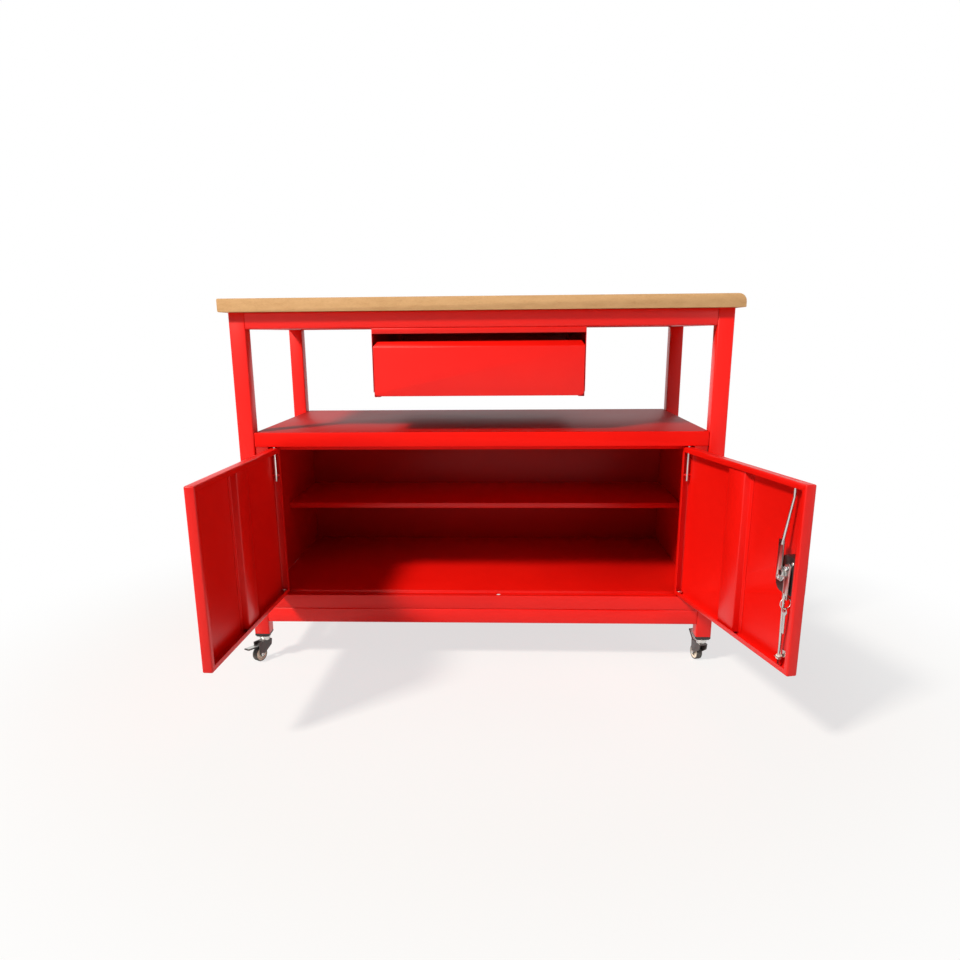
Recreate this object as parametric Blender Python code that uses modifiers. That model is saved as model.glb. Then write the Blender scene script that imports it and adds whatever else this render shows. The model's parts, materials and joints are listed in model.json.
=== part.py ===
"""Mobile workshop bench: welded tube frame, board top, hung drawer and a two-door steel cabinet.

Metres, +Z up, the front faces -Y. The pieces are built with x = 0 at the middle of the bench,
y = 0 at the front faces of the legs and z = 0 on the floor. At the end the whole bench moves so
that the origin is the bottom centre of its bounding box, with the doors open as stored.
"""
import math

import bmesh
import bpy
from mathutils import Matrix, Vector

X, Y, Z = range(3)

# Clearances
SEAT_GAP = 0.0003
RUN_GAP = 0.0005

# Board top
TOP_LENGTH = 1.200
TOP_DEPTH = 0.600
TOP_THICKNESS = 0.030
TOP_OVERHANG = 0.018
TOP_END_ROUND = 0.018
TOP_ARRIS = 0.003

# Tube frame
TUBE = 0.038
TUBE_WALL = 0.0015
TUBE_ROUND = 0.003
LEG_LENGTH = 0.796
LEG_STUB = 0.0335
CASTER_HEIGHT = 0.074

# Sheet metal
SHEET = 0.001
SHEET_BEND = 0.0015
HOLE_DEPTH = 0.006

# Cabinet
CABINET_HEIGHT = 0.446
CABINET_SIDE_GAP = 0.0015
FASCIA_HEIGHT = 0.035
SILL_HEIGHT = 0.035
STILE_WIDTH = 0.030
STILE_RETURN = 0.016
PANEL_SETBACK = 0.002
STOP_LIP = 0.010
SILL_STEP = 0.006
BACK_FLANGE = 0.020
SIDE_RETURN = 0.015
SHELF_RISE = 0.185
SHELF_SETBACK = 0.255
SHELF_LIP = 0.015

# Doors
DOOR_THICKNESS = 0.021
DOOR_GAP = 0.003
DOOR_LIP = 0.012
DOOR_BEND = 0.003
HINGE_INSET = 0.009
LEFT_DOOR_OPEN = 92.0
RIGHT_DOOR_OPEN = 102.7
HAT_WIDTH = 0.065
HAT_DEPTH = 0.017
HAT_FLANGE = 0.012
HAT_END_GAP = 0.006
PIN_RADIUS = 0.003
PIN_BITE = 0.008
TOP_PIN_TAIL = 0.082
BOTTOM_PIN_TAIL = 0.006
PIN_TAB_RISE = 0.013
PIN_TAB_LENGTH = 0.017
PIN_TAB_SIZE = 0.004

# Lock on the right door
LOCK_BACKSET = 0.040
LOCK_RISE = 0.011
LOCK_FREE_SIDE = 0.030
LOCK_HINGE_SIDE = 0.0115
LOCK_HEAD = 0.033
LOCK_FOOT = 0.040
LOCK_CORNER = 0.006
LOCK_BULGE = 0.018
LOCK_BULGE_HEAD = 0.019
LOCK_DEPTH = 0.0182
LOCK_FLANGE = 0.005
LOCK_FLANGE_THICKNESS = 0.002
LOCK_WALL = 0.004
SPINDLE_RADIUS = 0.005
SPINDLE_TAIL = 0.008
GRIP_RADIUS = 0.018
GRIP_DISC = 0.003
GRIP_BAR = 0.008
GRIP_HEIGHT = 0.007
CAM_THICKNESS = 0.003
CRANK = 0.016
CAM_END_RADIUS = 0.009
STUD_RADIUS = 0.0025
LOCK_TURN = 90.0
LINK_THICKNESS = 0.0025
LINK_WIDTH = 0.016
LINK_LENGTH = 0.079
LINK_END = 0.0065
LOWER_LINK_LENGTH = 0.066
STUD_PLAY = 0.0008
ROD_RADIUS = 0.003
ROD_ROOT = 0.010
ROD_SIDE = 0.0052
ROD_DEPTH = 0.0125
ROD_STRAIGHT = 0.030
STRIKER_RADIUS = 0.005
GUIDE_RISE = 0.022
GUIDE_WIDTH = 0.013
GUIDE_GAUGE = 0.0020
GUIDE_REACH = 0.006

# Keys on the lower lock rod
RING_RADIUS = 0.011
RING_WIRE = 0.0009
RING_HOLE = 0.0025
RING_PLAY = 0.0008
RING_SIDE = 0.0175
RING_DROP = 0.0435
KEY_BOW = 0.0075
KEY_EYE = 0.0024
KEY_LENGTH = 0.048
KEY_BLADE = 0.0065
KEY_THICKNESS = 0.0018

# Drawer
HOUSING_WIDTH = 0.497
HOUSING_HEIGHT = 0.158
HOUSING_STRIP = 0.0125
HOUSING_FLANGE = 0.014
HOUSING_SETBACK = 0.012
HOUSING_NOTCH = 0.012
FINGER_GAP = 0.017
GRIP_SLOPE = 0.013
GRIP_RELIEF = 0.008
GRIP_RETURN = 0.008
FRONT_SIDE_GAP = 0.0013
FRONT_FOOT_GAP = 0.0015
FRONT_CORNER = 0.008
DRAWER_LENGTH = 0.482
DRAWER_WALL_HEIGHT = 0.092
DRAWER_FLOOR_GAP = 0.010
DRAWER_TRAVEL = 0.380
RUNNER_SPACE = 0.0127
RUNNER_HEIGHT = 0.040
RUNNER_GAUGE = 0.0012
RUNNER_SETBACK = 0.018
RUNNER_LENGTH = 0.450
RUNNER_INNER_LENGTH = 0.440
RUNNER_FLANGE = 0.0085

# Casters
WHEEL_RADIUS = 0.019
WHEEL_WIDTH = 0.015
TYRE_THICKNESS = 0.0025
HUB_RADIUS = 0.0065
HUB_DISH = 0.002
AXLE_RADIUS = 0.003
CASTER_TRAIL = 0.021
CAP_THICKNESS = 0.004
CAP_TAPER = 0.0045
CAP_BOSS = 0.005
CAP_INSET = 0.0005
KINGPIN_RADIUS = 0.004
RACE_RADIUS = 0.0155
RACE_FOOT = 0.011
RACE_HEIGHT = 0.012
FORK_GAUGE = 0.0022
FORK_CLEARANCE = 0.001
FORK_BRIDGE = 0.0035
FORK_TIP_RADIUS = 0.0065
FORK_NOSE = 0.014
FORK_SHOULDER = 0.012
FORK_SHOULDER_CUT = 0.002
PLAIN_EAR = 0.016
BRAKED_EAR = 0.030
PEDAL_SETBACK = 0.024
PEDAL_PIVOT_RADIUS = 0.0015
PEDAL_BARREL = 0.0038
PEDAL_LENGTH = 0.040
PEDAL_THICKNESS = 0.003
PRESSED_PEDAL_TILT = 3.0
FREE_PEDAL_TILT = 45.0
FRONT_LEFT_SWIVEL = -30.0
FRONT_RIGHT_SWIVEL = -166.0
BACK_LEFT_SWIVEL = 160.0
BACK_RIGHT_SWIVEL = 205.0

# Facets on round pieces
ROUND_SIDES = 24
WHEEL_SIDES = 32
SMALL_SIDES = 12

# Heights and half sizes that follow from the sizes above
frame_half = TOP_LENGTH / 2 - TOP_OVERHANG
frame_depth = TOP_DEPTH - 2 * TOP_OVERHANG
leg_foot = CASTER_HEIGHT
leg_head = leg_foot + LEG_LENGTH
base_rail_low = leg_foot + LEG_STUB
base_rail_high = base_rail_low + TUBE
top_rail_low = leg_head - TUBE
cabinet_half = frame_half - TUBE - CABINET_SIDE_GAP
cabinet_low = base_rail_high + SEAT_GAP
cabinet_high = cabinet_low + CABINET_HEIGHT
side_half = cabinet_half - SHEET - SEAT_GAP
floor_half = side_half - SHEET - SEAT_GAP
sill_high = cabinet_low + SILL_HEIGHT
fascia_low = cabinet_high - FASCIA_HEIGHT
stop_depth = DOOR_THICKNESS + DOOR_GAP
back_face = frame_depth - SHEET - SEAT_GAP
back_panel_face = back_face - SHEET - SEAT_GAP
inside_back = back_panel_face - SHEET - SEAT_GAP
opening_half = side_half - STILE_WIDTH
door_low = sill_high + DOOR_GAP
door_high = fascia_low - DOOR_GAP
hinge_x = opening_half - DOOR_GAP - HINGE_INSET
door_reach = hinge_x - DOOR_GAP / 2
lock_along = door_reach - LOCK_BACKSET
lock_height = (door_low + door_high) / 2 + LOCK_RISE
cam_depth = SHEET + SEAT_GAP + LOCK_DEPTH + SEAT_GAP
link_depth = cam_depth + CAM_THICKNESS + SEAT_GAP
crank_side = CRANK * math.cos(math.radians(LOCK_TURN / 2))
rod_travel = 2 * CRANK * math.sin(math.radians(LOCK_TURN / 2))
ring_x = -RING_SIDE
ring_z = -RING_DROP
housing_high = top_rail_low - SEAT_GAP
housing_low = housing_high - HOUSING_HEIGHT
front_high = housing_high - HOUSING_STRIP - FINGER_GAP
front_low = housing_low + SHEET + FRONT_FOOT_GAP
drawer_front = SHEET + SEAT_GAP
drawer_low = housing_low + SHEET + DRAWER_FLOOR_GAP
housing_inner = HOUSING_WIDTH / 2 - SHEET
drawer_half = housing_inner - RUNNER_SPACE
fork_half = WHEEL_WIDTH / 2 + FORK_CLEARANCE
cap_low = CASTER_HEIGHT - SEAT_GAP - CAP_THICKNESS - CAP_BOSS
race_high = cap_low - SEAT_GAP
bridge_high = race_high - RACE_HEIGHT
bridge_low = bridge_high - FORK_BRIDGE
pedal_height = 2 * WHEEL_RADIUS + PEDAL_BARREL + RUN_GAP


def clear_scene():
    for thing in list(bpy.data.objects):
        bpy.data.objects.remove(thing, do_unlink=True)


def new_collection(name):
    collection = bpy.data.collections.new(name)
    bpy.context.scene.collection.children.link(collection)
    return collection


def new_finish(name, colour, roughness, metallic=0.0):
    finish = bpy.data.materials.new(name)
    finish.use_nodes = True
    shader = finish.node_tree.nodes["Principled BSDF"]
    shader.inputs["Base Color"].default_value = (*colour, 1.0)
    shader.inputs["Roughness"].default_value = roughness
    shader.inputs["Metallic"].default_value = metallic
    finish.diffuse_color = (*colour, 1.0)
    return finish


clear_scene()
bench = new_collection("workbench")
cutters = new_collection("cutters")

red_paint = new_finish("red_powder_coat", (0.75, 0.035, 0.02), 0.35)
board = new_finish("board", (0.55, 0.36, 0.18), 0.7)
zinc = new_finish("zinc_plate", (0.72, 0.72, 0.7), 0.3, 1.0)
chrome = new_finish("chrome_plate", (0.8, 0.8, 0.82), 0.15, 1.0)
black_plastic = new_finish("black_plastic", (0.015, 0.012, 0.012), 0.45)
fork_coat = new_finish("dark_fork_coat", (0.06, 0.05, 0.045), 0.4)
cream_nylon = new_finish("cream_nylon", (0.75, 0.68, 0.5), 0.5)
grey_rubber = new_finish("grey_rubber", (0.09, 0.085, 0.075), 0.7)


def new_empty(name, place, turn=0.0, parent=None):
    empty = bpy.data.objects.new(name, None)
    empty.location = place
    empty.rotation_euler = (0.0, 0.0, turn)
    empty.parent = parent
    bench.objects.link(empty)
    return empty


def add_object(name, bm, collection, parent=None):
    mesh = bpy.data.meshes.new(name)
    bm.to_mesh(mesh)
    bm.free()
    thing = bpy.data.objects.new(name, mesh)
    thing.parent = parent
    collection.objects.link(thing)
    return thing


def add_part(name, bm, finish, parent=None, round_angle=None):
    part = add_object(name, bm, bench, parent)
    part.data.materials.append(finish)
    if round_angle is not None:
        part.data.shade_smooth()
        part.data.set_sharp_from_angle(angle=math.radians(round_angle))
    return part


def boolean(part, bm, operation, name):
    """Leaves a live Boolean on the part; its tool rides on the same parent."""
    tool = add_object(name, bm, cutters, part.parent)
    tool.location = part.location
    tool.rotation_euler = part.rotation_euler
    tool.hide_render = True
    tool.display_type = "WIRE"
    modifier = part.modifiers.new(name, "BOOLEAN")
    modifier.operation = operation
    modifier.solver = "EXACT"
    modifier.object = tool


def cut(part, bm):
    boolean(part, bm, "DIFFERENCE", part.name + "_cut")


def fuse(part, bm):
    boolean(part, bm, "UNION", part.name + "_joined")


def add_block(bm, low, high):
    size = Vector(high) - Vector(low)
    place = Matrix.Translation((Vector(low) + Vector(high)) / 2)
    return bmesh.ops.create_cube(bm, size=1.0, matrix=place @ Matrix.Diagonal((*size, 1.0)))["verts"]


def new_block(low, high):
    bm = bmesh.new()
    add_block(bm, low, high)
    return bm


def add_rod(bm, centre, axis, radius, length, sides=ROUND_SIDES, top_radius=None):
    """A round bar centred on a point, along one of the three axes, or a cone along Z."""
    turn = {X: Matrix.Rotation(math.pi / 2, 4, "Y"), Y: Matrix.Rotation(math.pi / 2, 4, "X"),
            Z: Matrix.Identity(4)}[axis]
    bmesh.ops.create_cone(bm, cap_ends=True, segments=sides, radius1=radius,
                          radius2=top_radius or radius, depth=length,
                          matrix=Matrix.Translation(centre) @ turn)


def new_rod(centre, axis, radius, length, sides=ROUND_SIDES, top_radius=None):
    bm = bmesh.new()
    add_rod(bm, centre, axis, radius, length, sides, top_radius)
    return bm


def round_edges(bm, wanted, radius, segments):
    """Rounds the edges whose direction and middle point the test accepts."""
    chosen = []
    for edge in bm.edges:
        ends = edge.verts[1].co - edge.verts[0].co
        middle = (edge.verts[0].co + edge.verts[1].co) / 2
        if wanted(ends.normalized(), middle):
            chosen.append(edge)
    bmesh.ops.bevel(bm, geom=chosen, offset=radius, offset_type="OFFSET", affect="EDGES",
                    segments=segments, profile=0.5, material=-1)


def open_box(low, high, folds, is_open):
    """A box of single faces, scored along fold planes, without the faces that are open."""
    bm = new_block(low, high)
    for axis, place in folds:
        normal = Vector((0.0, 0.0, 0.0))
        normal[axis] = 1.0
        bmesh.ops.bisect_plane(bm, geom=bm.verts[:] + bm.edges[:] + bm.faces[:],
                               plane_co=normal * place, plane_no=normal)
    gone = [face for face in bm.faces if is_open(face.calc_center_median(), face.normal)]
    bmesh.ops.delete(bm, geom=gone, context="FACES")
    return bm


def place_along(axis, place, first, second):
    """A point from its place along one axis and its two other coordinates, in X, Y, Z order."""
    point = [first, second]
    point.insert(axis, place)
    return point


def folded_strip(points, low, high, axis, thick_side):
    """A profile folded at its points, pulled along one axis from low to high.

    The sheet lies to the left (1) or right (-1) of the walk along the points.
    """
    bm = bmesh.new()
    verts = [bm.verts.new(place_along(axis, low, *point)) for point in points]
    edges = [bm.edges.new(pair) for pair in zip(verts, verts[1:])]
    pull(bm, edges, axis, high - low)
    walk = (points[1][0] - points[0][0], points[1][1] - points[0][1])
    left = Vector(place_along(axis, 0.0, -walk[1], walk[0]))
    first = next(face for face in bm.faces if verts[0] in face.verts)
    first.normal_update()
    if first.normal.dot(left) * thick_side > 0:
        bmesh.ops.reverse_faces(bm, faces=bm.faces[:])
    return bm


def pull(bm, edges, axis, distance):
    """Extrudes edges straight along one axis and returns the new edges at the far end."""
    grown = bmesh.ops.extrude_edge_only(bm, edges=edges)["geom"]
    moved = {item for item in grown if isinstance(item, bmesh.types.BMVert)}
    step = Vector((0.0, 0.0, 0.0))
    step[axis] = distance
    bmesh.ops.translate(bm, verts=list(moved), vec=step)
    return [item for item in grown if isinstance(item, bmesh.types.BMEdge)
            and item.verts[0] in moved and item.verts[1] in moved]


def plate_outline(points, low, high, axis):
    """A flat outline pushed straight through from low to high along one axis."""
    bm = bmesh.new()
    face = bm.faces.new([bm.verts.new(place_along(axis, low, *point)) for point in points])
    grown = bmesh.ops.extrude_face_region(bm, geom=[face])["geom"]
    moved = [item for item in grown if isinstance(item, bmesh.types.BMVert)]
    step = Vector((0.0, 0.0, 0.0))
    step[axis] = high - low
    bmesh.ops.translate(bm, verts=moved, vec=step)
    bmesh.ops.recalc_face_normals(bm, faces=bm.faces)
    return bm


def arc(centre, radius, start, end, steps):
    """Points on a circular arc, angles in degrees."""
    points = []
    for step in range(steps + 1):
        angle = math.radians(start + (end - start) * step / steps)
        points.append((centre[0] + radius * math.cos(angle), centre[1] + radius * math.sin(angle)))
    return points


def press_sheet(part, gauge=SHEET, bend=SHEET_BEND, segments=2):
    """Rounds the folds of an open surface and gives it the sheet's gauge inwards."""
    bends = part.modifiers.new("bends", "BEVEL")
    bends.width = bend
    bends.segments = segments
    bends.limit_method = "ANGLE"
    bends.angle_limit = math.radians(40)
    wall = part.modifiers.new("gauge", "SOLIDIFY")
    wall.thickness = gauge
    wall.offset = -1.0
    wall.use_even_offset = True


def turned(name, profile, finish, sides, parent=None):
    """A (radius, height) profile, given down its outer side, turned with a Screw modifier."""
    bm = bmesh.new()
    verts = [bm.verts.new((radius, 0.0, height)) for radius, height in profile]
    pairs = list(zip(verts, verts[1:]))
    if profile[0][0] > 0.0:
        pairs.append((verts[-1], verts[0]))
    for pair in pairs:
        bm.edges.new(pair)
    part = add_part(name, bm, finish, parent)
    screw = part.modifiers.new("turned", "SCREW")
    screw.steps = sides
    screw.render_steps = sides
    screw.use_merge_vertices = True
    screw.merge_threshold = 0.00001
    screw.use_smooth_shade = True
    return part


def square_tube(name, low, high, axis):
    """A square steel tube with open ends and rounded corners, lying along one axis."""
    bm = open_box(low, high, [], lambda middle, normal: abs(normal[axis]) > 0.5)
    part = add_part(name, bm, red_paint)
    press_sheet(part, TUBE_WALL, TUBE_ROUND, 3)


def build_top():
    low = (-TOP_LENGTH / 2, -TOP_OVERHANG, leg_head + SEAT_GAP)
    high = (TOP_LENGTH / 2, TOP_DEPTH - TOP_OVERHANG, leg_head + SEAT_GAP + TOP_THICKNESS)
    bm = new_block(low, high)
    middle_height = (low[Z] + high[Z]) / 2
    round_edges(bm, lambda way, at: abs(way.y) > 0.9 and at.x > 0 and at.z > middle_height,
                TOP_END_ROUND, 6)
    round_edges(bm, lambda way, at: abs(way.y) > 0.9 and at.x < -low[X] * 0.9
                and (at.x < 0 or at.z < middle_height - TOP_ARRIS), TOP_ARRIS, 2)
    add_part("worktop", bm, board)


def build_frame():
    far = frame_depth - TUBE
    inner = frame_half - TUBE - SEAT_GAP
    for side, word in ((-1, "left"), (1, "right")):
        near_x, far_x = sorted((side * frame_half, side * (frame_half - TUBE)))
        for front_y, end in ((0.0, "front"), (far, "back")):
            square_tube(f"leg_{end}_{word}", (near_x, front_y, leg_foot),
                        (far_x, front_y + TUBE, leg_head), Z)
        for base, name in ((top_rail_low, "top_rail"), (base_rail_low, "base_rail")):
            square_tube(f"{name}_{word}", (near_x, TUBE + SEAT_GAP, base),
                        (far_x, far - SEAT_GAP, base + TUBE), Y)
    for front_y, end in ((0.0, "front"), (far, "back")):
        for base, name in ((top_rail_low, "top_rail"), (base_rail_low, "base_rail")):
            square_tube(f"{name}_{end}", (-inner, front_y, base),
                        (inner, front_y + TUBE, base + TUBE), X)


def build_cabinet_top():
    """Shelf pan: fascia with its return and door-stop lip, short flanges on the other sides."""
    flange_low = cabinet_high - BACK_FLANGE
    bm = open_box((-cabinet_half, 0.0, fascia_low), (cabinet_half, frame_depth, cabinet_high),
                  [(X, -floor_half), (X, floor_half), (Z, flange_low)],
                  lambda at, way: way.z < -0.5 or (way.y > -0.5 and at.z < flange_low))
    hem = [edge for edge in bm.edges
           if all(abs(vert.co.z - fascia_low) < SHEET / 2 and abs(vert.co.y) < SHEET / 2
                  and abs(vert.co.x) < floor_half + SHEET / 2 for vert in edge.verts)]
    stop = pull(bm, hem, Y, stop_depth)
    pull(bm, stop, Z, -STOP_LIP)
    part = add_part("cabinet_top", bm, red_paint)
    press_sheet(part)
    cut_door_holes(part, fascia_low)


def build_cabinet_floor():
    """Lower fascia, sill ledge, the step that stops the doors, and the floor plate."""
    floor_high = sill_high + SILL_STEP
    points = [(inside_back, floor_high - BACK_FLANGE), (inside_back, floor_high),
              (stop_depth, floor_high), (stop_depth, sill_high), (0.0, sill_high),
              (0.0, cabinet_low), (TUBE - SHEET, cabinet_low)]
    bm = folded_strip(points, -floor_half, floor_half, X, 1)
    for side in (-1, 1):
        end = [edge for edge in bm.edges
               if all(abs(vert.co.y) < SHEET / 2 and vert.co.x * side > floor_half - SHEET / 2
                      for vert in edge.verts)]
        pull(bm, end, X, side * (cabinet_half - floor_half))
    part = add_part("cabinet_floor", bm, red_paint)
    press_sheet(part)
    cut_door_holes(part, sill_high)


def cut_door_holes(part, height):
    """Holes for both hinge pins and for one lock rod, through a flange at a given height."""
    holes = bmesh.new()
    for side in (-1, 1):
        add_rod(holes, (side * hinge_x, HINGE_INSET, height), Z, PIN_RADIUS + RUN_GAP,
                HOLE_DEPTH, SMALL_SIDES)
    add_rod(holes, (hinge_x - lock_along + ROD_SIDE, ROD_DEPTH, height), Z, STRIKER_RADIUS,
            HOLE_DEPTH, SMALL_SIDES)
    cut(part, holes)


def build_cabinet_sides():
    """Side panels, each with its front stile, the stile's return and a return at the back."""
    low = cabinet_low + SEAT_GAP
    high = cabinet_high - SHEET - SEAT_GAP
    stile_low = sill_high + SEAT_GAP
    stile_high = fascia_low - SEAT_GAP
    outline = [(PANEL_SETBACK, low), (back_face, low), (back_face, high), (PANEL_SETBACK, high),
               (PANEL_SETBACK, stile_high), (0.0, stile_high), (0.0, stile_low),
               (PANEL_SETBACK, stile_low)]
    for side, word in ((-1, "left"), (1, "right")):
        bm = bmesh.new()
        panel = bm.faces.new([bm.verts.new((side * side_half, y, z)) for y, z in outline])
        panel.normal_update()
        if panel.normal.x * side < 0:
            bmesh.ops.reverse_faces(bm, faces=[panel])
        fold = [edge for edge in bm.edges if all(abs(vert.co.y) < SHEET / 2 for vert in edge.verts)]
        rear = [edge for edge in bm.edges if all(vert.co.y > back_face - SHEET for vert in edge.verts)]
        stile = pull(bm, fold, X, -side * STILE_WIDTH)
        pull(bm, stile, Y, STILE_RETURN)
        pull(bm, rear, X, -side * SIDE_RETURN)
        part = add_part(f"cabinet_side_{word}", bm, red_paint)
        press_sheet(part)


def build_cabinet_inside():
    """Back panel and the half-depth shelf."""
    back = new_block((-floor_half, back_panel_face - SHEET, cabinet_low + SEAT_GAP),
                     (floor_half, back_panel_face, cabinet_high - SHEET - SEAT_GAP))
    add_part("cabinet_back", back, red_paint)
    shelf_high = sill_high + SHELF_RISE
    hem = SHELF_SETBACK + DOOR_LIP
    bm = open_box((-floor_half, SHELF_SETBACK, shelf_high - SHELF_LIP),
                  (floor_half, inside_back, shelf_high), [(Y, hem)],
                  lambda at, way: way.z < -0.5 and at.y > hem)
    press_sheet(add_part("inner_shelf", bm, red_paint))


def build_door(word, side, hinge):
    """Pan door: outer skin, four flanges, lips turned back, and a hat-section stiffener."""
    edges_x = sorted((side * HINGE_INSET, -side * door_reach))
    lip_x = (edges_x[0] + DOOR_LIP, edges_x[1] - DOOR_LIP)
    lip_z = (door_low + DOOR_LIP, door_high - DOOR_LIP)
    bm = open_box((edges_x[0], -HINGE_INSET, door_low),
                  (edges_x[1], DOOR_THICKNESS - HINGE_INSET, door_high),
                  [(X, lip_x[0]), (X, lip_x[1]), (Z, lip_z[0]), (Z, lip_z[1])],
                  lambda at, way: way.y > 0.5 and lip_x[0] < at.x < lip_x[1]
                  and lip_z[0] < at.z < lip_z[1])
    shell = add_part(f"door_{word}_shell", bm, red_paint, hinge)
    press_sheet(shell, SHEET, DOOR_BEND, 3)
    holes = bmesh.new()
    for flange in (door_low, door_high):
        add_rod(holes, (0.0, 0.0, flange), Z, PIN_RADIUS + RUN_GAP, HOLE_DEPTH, SMALL_SIDES)
    if side > 0:
        for flange in (door_low, door_high):
            add_rod(holes, (ROD_SIDE - lock_along, ROD_DEPTH - HINGE_INSET, flange), Z,
                    ROD_RADIUS + RUN_GAP, HOLE_DEPTH, SMALL_SIDES)
        outline = [(x - lock_along, z + lock_height) for x, z in lock_outline(SEAT_GAP)]
        cut(shell, plate_outline(outline, -HINGE_INSET - SHEET, -HINGE_INSET + 2 * SHEET, Y))
    cut(shell, holes)

    skin = -HINGE_INSET + SHEET + SEAT_GAP
    crown = -HINGE_INSET + HAT_DEPTH - SHEET
    middle = -side * (door_reach - HINGE_INSET) / 2
    wall = HAT_WIDTH / 2
    foot = wall + HAT_FLANGE
    profile = [(middle - foot, skin), (middle - wall, skin), (middle - wall, crown),
               (middle + wall, crown), (middle + wall, skin), (middle + foot, skin)]
    hat = folded_strip(profile, door_low + SHEET + HAT_END_GAP, door_high - SHEET - HAT_END_GAP, Z, 1)
    press_sheet(add_part(f"door_{word}_stiffener", hat, red_paint, hinge))


def build_hinge_pins(word, hinge):
    """Upper pin with its finger tab, and the headed lower pin."""
    high = fascia_low + PIN_BITE
    low = door_high - TOP_PIN_TAIL
    upper = add_part(f"door_{word}_upper_pin",
                     new_rod((0.0, 0.0, (low + high) / 2), Z, PIN_RADIUS, high - low, SMALL_SIDES),
                     zinc, hinge, 40)
    tab_low = low + PIN_TAB_RISE
    tab_back = -HINGE_INSET + SHEET + RUN_GAP
    fuse(upper, new_block((-PIN_TAB_SIZE / 2, tab_back, tab_low),
                          (PIN_TAB_SIZE / 2, tab_back + PIN_TAB_LENGTH, tab_low + PIN_TAB_SIZE)))
    low = sill_high - PIN_BITE
    neck = door_low + BOTTOM_PIN_TAIL
    head = neck + PIN_RADIUS
    turned(f"door_{word}_lower_pin",
           [(0.0, head), (2 * PIN_RADIUS, head), (2 * PIN_RADIUS, neck), (PIN_RADIUS, neck),
            (PIN_RADIUS, low), (0.0, low)], zinc, SMALL_SIDES, hinge)


def lock_outline(margin):
    """The lock housing's outline round the lock's axis, grown by a margin.

    A bulge with round corners widens it towards the hinge.
    """
    corners = [(LOCK_HINGE_SIDE, LOCK_BULGE - LOCK_FOOT, LOCK_BULGE, -90),
               (LOCK_HINGE_SIDE, LOCK_BULGE_HEAD - LOCK_BULGE, LOCK_BULGE, 0),
               (LOCK_HINGE_SIDE - LOCK_CORNER, LOCK_HEAD - LOCK_CORNER, LOCK_CORNER, 0),
               (LOCK_CORNER - LOCK_FREE_SIDE, LOCK_HEAD - LOCK_CORNER, LOCK_CORNER, 90),
               (LOCK_CORNER - LOCK_FREE_SIDE, LOCK_CORNER - LOCK_FOOT, LOCK_CORNER, 180)]
    points = []
    for x, z, radius, start in corners:
        points += arc((x, z), radius + margin, start, start + 90, 4)
    return points


def add_rounded_slab(bm, centre, half_width, half_height, low_y, high_y, corner):
    """A slab facing along Y with its four corners rounded."""
    x, z = centre
    verts = set(add_block(bm, (x - half_width, low_y, z - half_height),
                          (x + half_width, high_y, z + half_height)))
    corners = [edge for edge in bm.edges if edge.verts[0] in verts
               and abs(edge.verts[0].co.y - edge.verts[1].co.y) > (high_y - low_y) / 2]
    bmesh.ops.bevel(bm, geom=corners, offset=corner, offset_type="OFFSET", affect="EDGES",
                    segments=4, profile=0.5, material=-1)


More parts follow.
